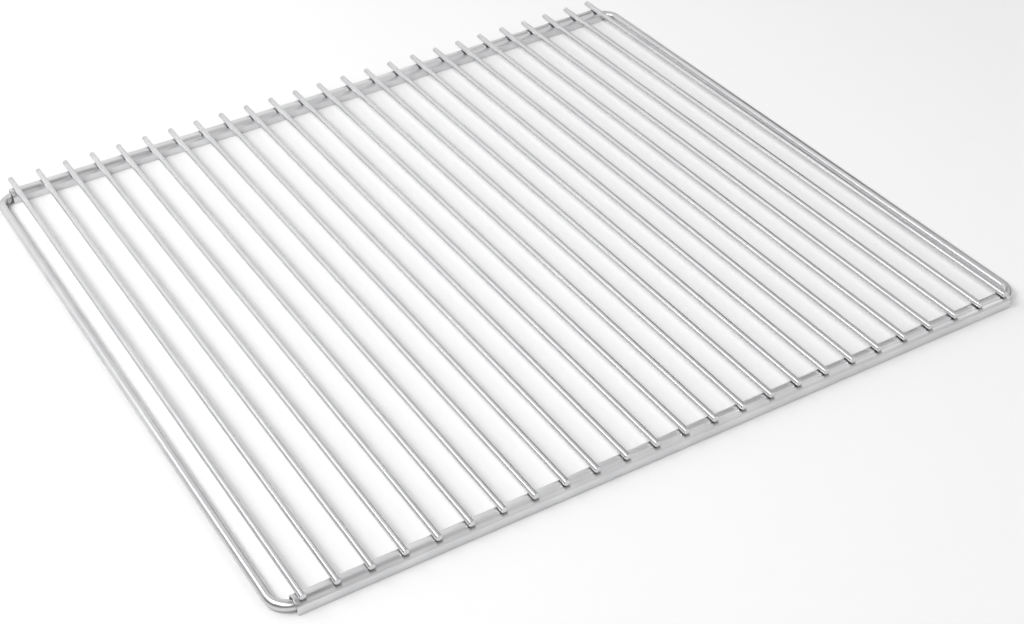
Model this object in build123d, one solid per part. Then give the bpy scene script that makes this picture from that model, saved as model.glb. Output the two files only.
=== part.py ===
from build123d import *
import os

# Welded wire rack of polished stainless steel, in millimetres, +Z up.
# +X runs along the two channels, and +Y runs along the bars from the front to the back.
# The origin is the middle of the rectangle that the rack covers, on the flat that it stands on.
# Twenty-five round bars lie side by side across two folded channels, which hold them up at
# the front and the back. A closed ring of thicker rod runs all the way round. Its front and
# back runs lie inside the channels, and its side runs are what the rack slides on.

# the grid of bars
BAR_COUNT = 25
PITCH = 20.0                # from the middle of one bar to the middle of the next
BAR_D = 4.0
BAR_LENGTH = 481.0
END_BREAK = 0.3             # chamfer that deburring leaves on each cut end
WELD_SINK = 0.3             # how far resistance welding lets a bar down into the channel

# the channels, folded from sheet into an upside-down U
SHEET = 1.0
CHANNEL_W = 10.6            # over both legs
CHANNEL_H = 8.5
FOLD_R = 4.4                # outside radius of each fold
CHANNEL_PAST_BAR = 4.4      # from the middle of an end bar to the channel's end
FRONT_LIP = 1.4             # how far the front channel stands out past the bars' front ends
BACK_OVERHANG = 6.2         # how far the bars' back ends stand out past the back channel

# the ring of rod
RING_D = 6.5
RING_PAST_BAR = 13.4        # from the middle of an end bar to the middle of a side run
RING_CORNER_R = 12.2        # bend radius of the rod's middle line

# the weld beads that hold the channels on the ring, along the underside
TACKS_PER_LEG = 5
TACK_SPACING = 105.0
TACK_LENGTH = 8.0
TACK_R = 1.5
TACK_Z = 1.7                # height of a bead's middle line
TACK_FROM_LEG = 0.7         # from the leg's inner face to a bead's middle line

# places worked out from the sizes above
grid_half = PITCH * (BAR_COUNT - 1) / 2
side_x = grid_half + RING_PAST_BAR
channel_length = 2 * (grid_half + CHANNEL_PAST_BAR)
overall_depth = FRONT_LIP + BAR_LENGTH
bar_front_y = FRONT_LIP - overall_depth / 2
bar_back_y = overall_depth / 2
front_channel_y = (CHANNEL_W - overall_depth) / 2
back_channel_y = bar_back_y - BACK_OVERHANG - CHANNEL_W / 2
bar_z = CHANNEL_H - WELD_SINK + BAR_D / 2
ring_z = RING_D / 2


def make_channel(y):
    """A sheet folded into an upside-down U, open below and at both ends."""
    outside = Rectangle(CHANNEL_W, CHANNEL_H, align=(Align.CENTER, Align.MIN))
    outside = fillet(outside.vertices().sort_by(Axis.Y)[-2:], FOLD_R)
    inside = Rectangle(CHANNEL_W - 2 * SHEET, CHANNEL_H - SHEET, align=(Align.CENTER, Align.MIN))
    inside = fillet(inside.vertices().sort_by(Axis.Y)[-2:], FOLD_R - SHEET)
    start = Plane.YZ.offset(-channel_length / 2)
    return Pos(0, y, 0) * extrude(start * (outside - inside), channel_length)


def make_ring():
    """One rod bent into a closed ring with four round corners."""
    corners = [(x, y, ring_z) for x, y in (
        (-side_x, front_channel_y),
        (side_x, front_channel_y),
        (side_x, back_channel_y),
        (-side_x, back_channel_y),
    )]
    path = FilletPolyline(*corners, radius=RING_CORNER_R, close=True)
    section = Plane(origin=path @ 0, z_dir=path % 0) * Circle(RING_D / 2)
    return sweep(section, path=path)


def make_bar(channels):
    """A straight bar at x = 0, with the flats that welding leaves where it sits on the channels."""
    bar = extrude(Plane.XZ.offset(-bar_front_y) * Pos(0, bar_z) * Circle(BAR_D / 2), -BAR_LENGTH)
    bar = chamfer(bar.edges().filter_by(GeomType.CIRCLE), END_BREAK)
    for channel in channels:
        bar -= channel
    return bar


def make_tacks(y, channel, ring):
    """The beads along both legs of one channel, each filling the gap between leg and rod."""
    gap_y = CHANNEL_W / 2 - SHEET - TACK_FROM_LEG
    beads = []
    for i in range(TACKS_PER_LEG):
        x = (i - (TACKS_PER_LEG - 1) / 2) * TACK_SPACING
        for side in (-1, 1):
            middle = Pos(x, y + side * gap_y, TACK_Z)
            bead = middle * Rot(0, 90, 0) * Cylinder(TACK_R, TACK_LENGTH)
            for end in (-1, 1):
                bead += middle * Pos(end * TACK_LENGTH / 2, 0, 0) * Sphere(TACK_R)
            beads.append(bead - channel - ring)
    return Compound(children=[solid for bead in beads for solid in bead.solids()])


front_channel = make_channel(front_channel_y)
back_channel = make_channel(back_channel_y)
ring = make_ring()
bar = make_bar((front_channel, back_channel))

parts = {
    "front_channel": front_channel,
    "back_channel": back_channel,
    "ring_frame": ring,
    "front_tack_welds": make_tacks(front_channel_y, front_channel, ring),
    "back_tack_welds": make_tacks(back_channel_y, back_channel, ring),
}
for i in range(BAR_COUNT):
    parts[f"bar_{i + 1:02d}"] = Pos(i * PITCH - grid_half, 0, 0) * bar

os.makedirs("parts", exist_ok=True)
for name, shape in parts.items():
    export_step(shape, f"parts/{name}.step")
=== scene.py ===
import bmesh
import bpy
import math
import random
from mathutils import Matrix, Vector


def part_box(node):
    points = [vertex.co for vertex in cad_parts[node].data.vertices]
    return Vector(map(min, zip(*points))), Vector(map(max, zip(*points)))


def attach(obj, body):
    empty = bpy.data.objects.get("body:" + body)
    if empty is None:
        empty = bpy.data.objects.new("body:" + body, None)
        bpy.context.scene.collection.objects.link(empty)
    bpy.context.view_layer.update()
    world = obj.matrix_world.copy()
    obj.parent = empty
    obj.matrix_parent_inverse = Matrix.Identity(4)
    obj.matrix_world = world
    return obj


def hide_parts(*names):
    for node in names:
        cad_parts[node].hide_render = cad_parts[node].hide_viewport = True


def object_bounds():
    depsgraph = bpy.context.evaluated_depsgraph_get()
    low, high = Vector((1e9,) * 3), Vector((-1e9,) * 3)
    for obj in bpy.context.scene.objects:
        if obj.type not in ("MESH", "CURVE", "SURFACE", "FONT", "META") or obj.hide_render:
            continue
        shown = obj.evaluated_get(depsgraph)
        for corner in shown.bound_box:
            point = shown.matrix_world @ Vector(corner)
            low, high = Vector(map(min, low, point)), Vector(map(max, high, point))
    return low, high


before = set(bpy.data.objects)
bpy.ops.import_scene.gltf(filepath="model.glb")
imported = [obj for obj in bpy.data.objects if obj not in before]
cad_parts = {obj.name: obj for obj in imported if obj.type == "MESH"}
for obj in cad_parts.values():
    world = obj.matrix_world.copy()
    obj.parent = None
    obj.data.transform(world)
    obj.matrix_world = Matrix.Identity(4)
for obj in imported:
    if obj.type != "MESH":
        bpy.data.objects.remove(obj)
cad_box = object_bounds()


# The ring. One length of polished stainless rod, bent round four corners and butt-welded
# into a closed loop. It carries the whole rack: its front and back runs lie inside the
# channels, and its side runs slide on the ledges of the cabinet.
MM = 0.001
RING_CORNER_R = 12.2 * MM
RING_SIDES = 56
RING_CORNER_STEPS = 28
RING_STEEL = (0.69, 0.69, 0.695)
RING_STEEL_SHADED = (0.63, 0.63, 0.64)
RING_ROUGHNESS = 0.26
# Painted shade: the near-black that steel is darkened to in the creases where bars and channels meet
PAINTED_CREASE_SHADE = (0.14, 0.13, 0.12)
LINES_PER_METRE = 2600.0  # across the drawing or rolling lines
LINE_BREAKS_PER_METRE = 22.0  # along them
LINE_DEPTH = 0.004 * MM
CLOUDS_PER_METRE = 38.0
CLOUD_EDGES = (0.35, 0.68)  # cloud noise below the first is shaded steel, above the second bright
SMEARS_PER_METRE = 160.0


class Shade:
    """One output socket of a shader node. Arithmetic on it adds the Math nodes that work it out."""

    def __init__(self, paint, socket):
        self.paint = paint
        self.socket = socket

    def __add__(self, other):
        return self.paint.math("ADD", self, other)

    def __sub__(self, other):
        return self.paint.math("SUBTRACT", self, other)

    def __mul__(self, other):
        return self.paint.math("MULTIPLY", self, other)

    def __rsub__(self, other):
        return self.paint.math("SUBTRACT", other, self)

    __radd__ = __add__
    __rmul__ = __mul__

    def along(self, axis):
        """The X, Y or Z part of a place."""
        return self.paint.node("ShaderNodeSeparateXYZ", {}, {"Vector": self}, output=axis)

    def between(self, low, high):
        """0 up to low, 1 from high, and smooth between them."""
        return self.paint.node(
            "ShaderNodeMapRange",
            {"interpolation_type": "SMOOTHSTEP"},
            {"Value": self, "From Min": low, "From Max": high},
        )


class Paint:
    """A material, or the world, that is built up node by node."""

    def __init__(self, owner):
        owner.use_nodes = True
        self.tree = owner.node_tree
        self.tree.nodes.clear()

    def node(self, kind, settings, sockets, output=0):
        """Adds a node, sets it up, and fills its sockets with values or links. Gives one output."""
        made = self.tree.nodes.new(kind)
        for name, value in settings.items():
            setattr(made, name, value)
        for socket, value in sockets.items():
            if isinstance(value, Shade):
                self.tree.links.new(value.socket, made.inputs[socket])
            else:
                made.inputs[socket].default_value = value
        return Shade(self, made.outputs[output]) if made.outputs else made

    def math(self, operation, *values):
        return self.node("ShaderNodeMath", {"operation": operation}, dict(enumerate(values)))

    def place(self):
        """Where a point is in the rack's own frame, in metres."""
        return self.node("ShaderNodeTexCoord", {}, {}, output="Object")

    def noise(self, place, density, detail=3.0):
        """Noise with its own density along X, Y and Z, in lumps per metre."""
        scaled = self.node("ShaderNodeVectorMath", {"operation": "MULTIPLY"}, {0: place, 1: density})
        return self.node("ShaderNodeTexNoise", {}, {"Vector": scaled, "Scale": 1.0, "Detail": detail})

    def bump(self, depth, height):
        """A Normal for a surface whose relief is depth metres where height goes from 0 to 1."""
        return self.node("ShaderNodeBump", {}, {"Strength": 1.0, "Distance": depth, "Height": height})

    def mix_colours(self, share, first, second):
        """From the first colour to the second. The node's colour sockets are numbers 6 and 7."""
        first, second = (c if isinstance(c, Shade) else (*c, 1.0) for c in (first, second))
        return self.node(
            "ShaderNodeMix", {"data_type": "RGBA"}, {0: share, 6: first, 7: second}, output=2,
        )

    def finish(self, sockets):
        """The Principled shader, with these sockets, on the material's output."""
        shader = self.node("ShaderNodeBsdfPrincipled", {}, sockets)
        self.node("ShaderNodeOutputMaterial", {}, {"Surface": shader})


def polished_steel(name, light, shaded, along, roughness, painted_shade_mask=None):
    """Drawn or rolled stainless steel: fine lines along the metal, and faint cloudy patches
    where the polish took unevenly. The last argument gives a mask of painted shade: steel
    darkened in the creases where bars and channels meet."""
    material = bpy.data.materials.new(name)
    paint = Paint(material)
    place = paint.place()
    line_density = [LINES_PER_METRE] * 3
    line_density["XYZ".index(along)] = LINE_BREAKS_PER_METRE
    lines = paint.noise(place, line_density, detail=1.5)
    clouds = paint.noise(place, [CLOUDS_PER_METRE] * 3)
    smears = paint.noise(place, [SMEARS_PER_METRE] * 3, detail=2.0)
    cloudy = clouds.between(*CLOUD_EDGES)
    colour = paint.mix_colours(cloudy * 0.75 + smears * 0.25, shaded, light)
    # Painted shade, mixed into the steel's colour where the mask says
    if painted_shade_mask:
        colour = paint.mix_colours(painted_shade_mask(paint, place), colour, PAINTED_CREASE_SHADE)
    rough = roughness * (0.8 + 0.45 * lines + 0.3 * (1 - cloudy) + 0.1 * smears)
    relief = paint.bump(LINE_DEPTH, lines + 0.6 * smears)
    paint.finish({"Base Color": colour, "Metallic": 1.0, "Roughness": rough, "Normal": relief})
    return material


def new_piece(name, mesh_maker, material, node):
    """A mesh object that stands for one CAD node and rides on the rack."""
    mesh = bpy.data.meshes.new(name)
    built = bmesh.new()
    mesh_maker(built)
    bmesh.ops.recalc_face_normals(built, faces=built.faces)
    built.to_mesh(mesh)
    built.free()
    mesh.materials.append(material)
    piece = bpy.data.objects.new(name, mesh)
    bpy.context.scene.collection.objects.link(piece)
    mesh.shade_smooth()
    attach(piece, "root")
    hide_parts(node)
    return piece


def loft(built, rings, closed):
    """Joins rings of points with strips of faces. A closed loft joins its last ring to its first."""
    loops = [[built.verts.new(point) for point in ring] for ring in rings]
    pairs = list(zip(loops, loops[1:]))
    if closed:
        pairs.append((loops[-1], loops[0]))
    for a, b in pairs:
        for i in range(len(a)):
            j = (i + 1) % len(a)
            built.faces.new((a[i], a[j], b[j], b[i]))
    return loops


ring_low, ring_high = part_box("ring_frame")
ring_r = (ring_high.z - ring_low.z) / 2
ring_z = ring_low.z + ring_r


def ring_mesh(built):
    left, right = ring_low.x + ring_r, ring_high.x - ring_r
    front, back = ring_low.y + ring_r, ring_high.y - ring_r
    up = Vector((0, 0, 1))
    rings = []
    for corner in range(4):
        start = math.radians(90 * corner)
        outward = Vector((math.cos(start + math.pi / 4), math.sin(start + math.pi / 4), 0))
        centre_x = (right if outward.x > 0 else left) - math.copysign(RING_CORNER_R, outward.x)
        centre_y = (back if outward.y > 0 else front) - math.copysign(RING_CORNER_R, outward.y)
        for step in range(RING_CORNER_STEPS + 1):
            angle = start + math.pi / 2 * step / RING_CORNER_STEPS
            sideways = Vector((math.cos(angle), math.sin(angle), 0))
            on_line = Vector((centre_x, centre_y, ring_z)) + RING_CORNER_R * sideways
            rings.append([
                on_line + ring_r * (math.cos(turn) * sideways + math.sin(turn) * up)
                for turn in (2 * math.pi * k / RING_SIDES for k in range(RING_SIDES))
            ])
    loft(built, rings, closed=True)


ring_steel = polished_steel("ring_steel", RING_STEEL, RING_STEEL_SHADED, "Y", RING_ROUGHNESS)
new_piece("ring_rod", ring_mesh, ring_steel, "ring_frame")


# The two channels. Each is a strip of stainless sheet folded along its length into an
# upside-down U with round folds, polished on the outside, and slipped over a run of the ring.
# The bars are welded across their narrow flat tops.
SHEET = 1.0 * MM
FOLD_R = 4.4 * MM
FOLD_STEPS = 18
EDGE_BREAK = 0.14 * MM
EDGE_ANGLE = math.radians(60)  # edges sharper than this are cut edges
CHANNEL_STATIONS = 120
CHANNEL_STEEL = (0.74, 0.74, 0.745)
CHANNEL_STEEL_SHADED = (0.67, 0.67, 0.68)
CHANNEL_ROUGHNESS = 0.27
# Painted shade in the creases under the bars: how strong at most, and how far it reaches
PAINTED_SHADE_STRENGTH = 0.8
PAINTED_SHADE_BESIDE = (1.1 * MM, 2.7 * MM)  # sideways from a bar's middle: where the painted shade starts to fade, and ends
PAINTED_SHADE_BELOW = (0.9 * MM, 2.4 * MM)  # the same, downwards from a channel's top


def channel_profile(width, height, inset, fold_r):
    """Points (y, z) along the section, up one leg, over the top and down the other."""
    half, top = width / 2 - inset, height - inset
    points = [(-half, 0.0), (-half, (top - fold_r) / 2)]
    for side in (-1, 1):
        for step in range(FOLD_STEPS + 1):
            turn = math.pi / 2 * step / FOLD_STEPS
            if side > 0:
                turn = math.pi / 2 - turn
            points.append((
                side * (half - fold_r + fold_r * math.cos(turn)),
                top - fold_r + fold_r * math.sin(turn),
            ))
    return [*points, (half, (top - fold_r) / 2), (half, 0.0)]


def channel_mesh(node):
    low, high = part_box(node)
    middle_y = (low.y + high.y) / 2
    width, height = high.y - low.y, high.z - low.z

    def build(built):
        outside = channel_profile(width, height, 0.0, FOLD_R)
        inside = channel_profile(width, height, SHEET, FOLD_R - SHEET)
        section = outside + inside[::-1]
        rings = []
        for station in range(CHANNEL_STATIONS + 1):
            x = low.x + (high.x - low.x) * station / CHANNEL_STATIONS
            rings.append([Vector((x, middle_y + y, low.z + z)) for y, z in section])
        loops = loft(built, rings, closed=False)
        for loop in (loops[0], loops[-1]):
            count = len(loop)
            for i in range(count // 2 - 1):
                built.faces.new((loop[i], loop[i + 1], loop[count - 2 - i], loop[count - 1 - i]))
        bmesh.ops.recalc_face_normals(built, faces=built.faces)
        sharp = [e for e in built.edges if e.calc_face_angle(0) > EDGE_ANGLE]
        bmesh.ops.bevel(
            built, geom=sharp, offset=EDGE_BREAK, segments=2, profile=0.6, affect="EDGES",
        )

    return build


def painted_shade_under_bars(paint, place):
    """Painted shade: dark in the crease under each bar, and gone a little way out from it."""
    first, second = (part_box(f"bar_{number:02d}") for number in (1, 2))
    first_x, pitch = (first[0].x + first[1].x) / 2, second[0].x - first[0].x
    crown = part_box("front_channel")[1].z
    from_first = place.along("X") - first_x
    height = place.along("Z")
    from_nearest = paint.math("PINGPONG", from_first, pitch / 2)
    beside = 1 - from_nearest.between(*PAINTED_SHADE_BESIDE)
    near_top, far_down = PAINTED_SHADE_BELOW
    return PAINTED_SHADE_STRENGTH * beside * height.between(crown - far_down, crown - near_top)


# The channel steel carries painted shade in the creases under the bars
channel_steel = polished_steel(
    "channel_steel", CHANNEL_STEEL, CHANNEL_STEEL_SHADED, "X", CHANNEL_ROUGHNESS, painted_shade_under_bars,
)
for side in ("front", "back"):
    node = f"{side}_channel"
    new_piece(f"{side}_channel_sheet", channel_mesh(node), channel_steel, node)


# The tack welds. Short beads of weld metal on the underside, in the gap between each leg
# of a channel and the ring, cleaned but left dull.
WELD_METAL = (0.42, 0.41, 0.40)
WELD_METAL_TINTED = (0.30, 0.26, 0.22)
WELD_ROUGHNESS = (0.38, 0.63)  # in the hollows, and on the lumps
LUMPS_PER_METRE = 900.0
LUMP_HEIGHT = 0.1 * MM
RIPPLE_SCALE = 300.0


def weld_metal():
    """Rippled, dull weld metal with a faint straw tint."""
    material = bpy.data.materials.new("weld_metal")
    paint = Paint(material)
    place = paint.place()
    lumps = paint.noise(place, [LUMPS_PER_METRE] * 3, detail=4.0)
    ripples = paint.node(
        "ShaderNodeTexWave",
        {"bands_direction": "X"},
        {"Vector": place, "Scale": RIPPLE_SCALE, "Distortion": 3.0, "Detail": 2.0},
    )
    colour = paint.mix_colours(lumps.between(0.4, 0.65), WELD_METAL_TINTED, WELD_METAL)
    smoothest, roughest = WELD_ROUGHNESS
    rough = smoothest + (roughest - smoothest) * lumps
    relief = paint.bump(LUMP_HEIGHT, lumps + 0.5 * ripples)
    paint.finish({"Base Color": colour, "Metallic": 1.0, "Roughness": rough, "Normal": relief})
    return material


tack_metal = weld_metal()
for node in ("front_tack_welds", "back_tack_welds"):
    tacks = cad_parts[node]
    tacks.data.materials.clear()
    tacks.data.materials.append(tack_metal)


# The bars. Straight lengths of drawn stainless rod, cut square, deburred, and resistance
# welded across both channels, each sunk a little into the sheet with a lip of squeezed-out
# metal beside it. Their back ends run on past the back channel.
BAR_SIDES = 40
END_BREAK = 0.3 * MM
BAR_SPANS = 24  # between the channels
FOLD_STATIONS = 8
WELD_LIP = 0.05  # how much wider a bar is at the foot of its weld
WELD_LIP_HEIGHT = 0.5 * MM
BAR_BOW = 0.12 * MM
BAR_STEEL = (0.71, 0.71, 0.715)
BAR_STEEL_SHADED = (0.65, 0.65, 0.66)
BAR_ROUGHNESS = 0.24
# Painted shade on the bars' undersides where they cross the channels: how far it reaches
PAINTED_SHADE_ALONG = (3.0 * MM, 5.5 * MM)  # from a channel's middle: where the painted shade starts to fade, and ends
PAINTED_SHADE_UP = (-1.5 * MM, -0.7 * MM)  # the same, upwards from the bar's middle

channels = [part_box(f"{side}_channel") for side in ("front", "back")]


def channel_height_at(y):
    """The height of a channel's outside surface under y, or None between and beyond them."""
    for low, high in channels:
        into = min(y - low.y, high.y - y)
        if into >= 0:
            fall = max(FOLD_R - into, 0)
            return high.z - FOLD_R + math.sqrt(max(FOLD_R ** 2 - fall ** 2, 0))
    return None


def bar_stations(front, back):
    """Where along Y a bar has a ring of points: close together at its ends and its welds."""
    along = {front + END_BREAK, back - END_BREAK}
    for low, high in channels:
        for step in range(FOLD_STATIONS + 1):
            into = FOLD_R * (0.5 + 0.5 * step / FOLD_STATIONS)
            along.update((low.y + into, high.y - into))
        along.add((low.y + high.y) / 2)
    inner_front, inner_back = channels[0][1].y, channels[1][0].y
    span = (inner_back - inner_front) / BAR_SPANS
    along.update(inner_front + span * k for k in range(BAR_SPANS + 1))
    return sorted(y for y in along if front + END_BREAK <= y <= back - END_BREAK)


def bar_mesh(node, draw):
    low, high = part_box(node)
    middle_x, middle_z = (low.x + high.x) / 2, high.z - (high.x - low.x) / 2
    bar_r = (high.x - low.x) / 2
    front, back = low.y, high.y
    bow = draw.uniform(-BAR_BOW, BAR_BOW)

    def section(y, radius):
        share = (y - front) / (back - front)
        lean = bow * math.sin(math.pi * share) ** 2
        floor = channel_height_at(y)
        points = []
        for k in range(BAR_SIDES):
            turn = 2 * math.pi * k / BAR_SIDES
            x, z = radius * math.cos(turn), middle_z + radius * math.sin(turn)
            if floor is not None and z < floor + WELD_LIP_HEIGHT and floor > middle_z - bar_r:
                x *= 1 + WELD_LIP * (1 - max(z - floor, 0) / WELD_LIP_HEIGHT)
                z = max(z, floor)
            points.append(Vector((middle_x + lean + x, y, z)))
        return points

    def rounded_end(end, inward, turns):
        return [
            section(end + inward * END_BREAK * (1 - math.sin(t)), bar_r - END_BREAK * (1 - math.cos(t)))
            for t in turns
        ]

    def build(built):
        turns = (math.pi / 2, math.pi / 3, math.pi / 6)
        rings = rounded_end(front, 1, turns)
        rings += [section(y, bar_r) for y in bar_stations(front, back)]
        rings += rounded_end(back, -1, turns[::-1])
        loops = loft(built, rings, closed=False)
        for loop in (loops[0], loops[-1]):
            middle = Vector((middle_x, loop[0].co.y, middle_z))
            inner = [built.verts.new(v.co.lerp(middle, 0.5)) for v in loop]
            for i in range(BAR_SIDES):
                j = (i + 1) % BAR_SIDES
                built.faces.new((loop[i], loop[j], inner[j], inner[i]))
            built.faces.new(inner)

    return build


def painted_shade_at_welds(paint, place):
    """Painted shade: dark on the underside of a bar, where it crosses a channel."""
    low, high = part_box("bar_01")
    middle_z = high.z - (high.x - low.x) / 2
    depth, height = place.along("Y"), place.along("Z")
    to_front, to_back = (
        paint.math("ABSOLUTE", depth - (low.y + high.y) / 2) for low, high in channels
    )
    to_nearer = paint.math("MINIMUM", to_front, to_back)
    near = 1 - to_nearer.between(*PAINTED_SHADE_ALONG)
    return PAINTED_SHADE_STRENGTH * near * (1 - height.between(*(middle_z + up for up in PAINTED_SHADE_UP)))


draw = random.Random(25)
# The bar steel carries painted shade on its underside where it crosses a channel
bar_steel = polished_steel(
    "bar_steel", BAR_STEEL, BAR_STEEL_SHADED, "Y", BAR_ROUGHNESS, painted_shade_at_welds,
)
for node in sorted(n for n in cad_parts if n.startswith("bar_")):
    new_piece(f"{node}_rod", bar_mesh(node, draw), bar_steel, node)


# The floor. A sheet of matt white paper with a faint grain, which the rack lies on. It is
# so much larger than the rack that its edges stay far away from it.
FLOOR_SIZE = 12.0
FLOOR_GAP = 0.05 * MM  # keeps the floor clear of the cut edges that stand on it
FLOOR_WHITE = (0.93, 0.93, 0.93)
FLOOR_GRAIN = (0.9207, 0.9207, 0.9207)
GRAINS_PER_METRE = 60.0

centre = (Vector(cad_box[0]) + Vector(cad_box[1])) / 2
base = Vector((centre.x, centre.y, cad_box[0][2]))

floor_mesh = bpy.data.meshes.new("floor")
half = FLOOR_SIZE / 2
corners = ((-half, -half), (half, -half), (half, half), (-half, half))
floor_mesh.from_pydata(
    [base + Vector((x, y, -FLOOR_GAP)) for x, y in corners], [], [(0, 1, 2, 3)],
)
floor = bpy.data.objects.new("floor", floor_mesh)
bpy.context.scene.collection.objects.link(floor)
floor_paper = bpy.data.materials.new("floor_paper")
paper = Paint(floor_paper)
grain = paper.noise(paper.place(), [GRAINS_PER_METRE] * 3)
paper_white = paper.mix_colours(grain, FLOOR_WHITE, FLOOR_GRAIN)
paper.finish({"Base Color": paper_white, "Roughness": 0.9, "Specular IOR Level": 0.0})
floor_mesh.materials.append(floor_paper)


# The light. Three softboxes on the left throw the bars' soft shadows to the right, and
# dimmer panels all round and overhead are what the steel reflects.
ROOM_LIGHT = 0.09
SOFTBOXES = {  # azimuth and elevation in degrees, distance, width and height in metres, power in watts
    "left_softbox": (-90.0, 53.0, 1.50, 0.6, 0.7, 9.2),
    "front_left_softbox": (-135.0, 44.0, 1.60, 0.64, 0.6, 5.0),
    "back_left_high_softbox": (-50.0, 46.0, 1.50, 0.55, 0.55, 3.6),
    "back_left_panel": (-36.0, 24.0, 1.20, 0.8, 0.8, 1.8),
    "back_left_low_panel": (-45.0, 8.0, 1.25, 0.9, 0.3, 0.4),
    "back_panel": (6.0, 38.0, 1.20, 1.0, 0.8, 1.8),
    "back_low_panel": (18.0, 14.0, 1.20, 1.4, 0.45, 1.6),
    "top_back_panel": (50.0, 63.0, 1.20, 1.3, 0.9, 1.8),
    "top_front_panel": (111.0, 65.0, 1.20, 1.1, 0.6, 1.0),
    "right_panel": (95.0, 30.0, 1.20, 1.6, 0.8, 2.2),
    "front_right_panel": (152.0, 30.0, 1.20, 1.3, 1.2, 3.2),
    "front_low_panel": (180.0, 22.0, 1.30, 1.5, 0.6, 0.5),
}


def towards(azimuth, elevation):
    """The unit vector to a place in the studio: azimuth from +Y towards +X, in degrees."""
    a, e = math.radians(azimuth), math.radians(elevation)
    return Vector((math.sin(a) * math.cos(e), math.cos(a) * math.cos(e), math.sin(e)))


room = bpy.data.worlds.new("white_room")
bpy.context.scene.world = room
room_paint = Paint(room)
white_light = {"Color": (1.0, 1.0, 1.0, 1.0), "Strength": ROOM_LIGHT}
room_light = room_paint.node("ShaderNodeBackground", {}, white_light)
room_paint.node("ShaderNodeOutputWorld", {}, {"Surface": room_light})

for name, (azimuth, elevation, distance, width, height, power) in SOFTBOXES.items():
    softbox_light = bpy.data.lights.new(name, "AREA")
    softbox_light.shape = "RECTANGLE"
    softbox_light.size = width
    softbox_light.size_y = height
    softbox_light.energy = power
    softbox = bpy.data.objects.new(name, softbox_light)
    direction = towards(azimuth, elevation)
    softbox.location = base + distance * direction
    softbox.rotation_euler = direction.to_track_quat("Z", "Y").to_euler()
    bpy.context.scene.collection.objects.link(softbox)


# The camera. It looks down on the rack from the front left, close enough for the bars to
# spread apart towards it, and leans a little to one side.
CAMERA_AZIMUTH = 29.283
CAMERA_ELEVATION = 36.457
CAMERA_ROLL = -2.348
CAMERA_DISTANCE = 1.1003
CAMERA_LENS = 62.32
CAMERA_AIM = Vector((-0.0248, -0.0872, 0.0102))

lens = bpy.data.cameras.new("camera")
lens.lens = CAMERA_LENS
lens.sensor_width = 36.0
lens.clip_start = 0.01
camera = bpy.data.objects.new("camera", lens)
bpy.context.scene.collection.objects.link(camera)
forward = towards(CAMERA_AZIMUTH, -CAMERA_ELEVATION)
lean = Matrix.Rotation(math.radians(CAMERA_ROLL), 3, "Z")
turn = forward.to_track_quat("-Z", "Y").to_matrix() @ lean
camera.matrix_world = Matrix.Translation(CAMERA_AIM - CAMERA_DISTANCE * forward) @ turn.to_4x4()
bpy.context.scene.camera = camera
bpy.context.scene.view_settings.view_transform = "Standard"
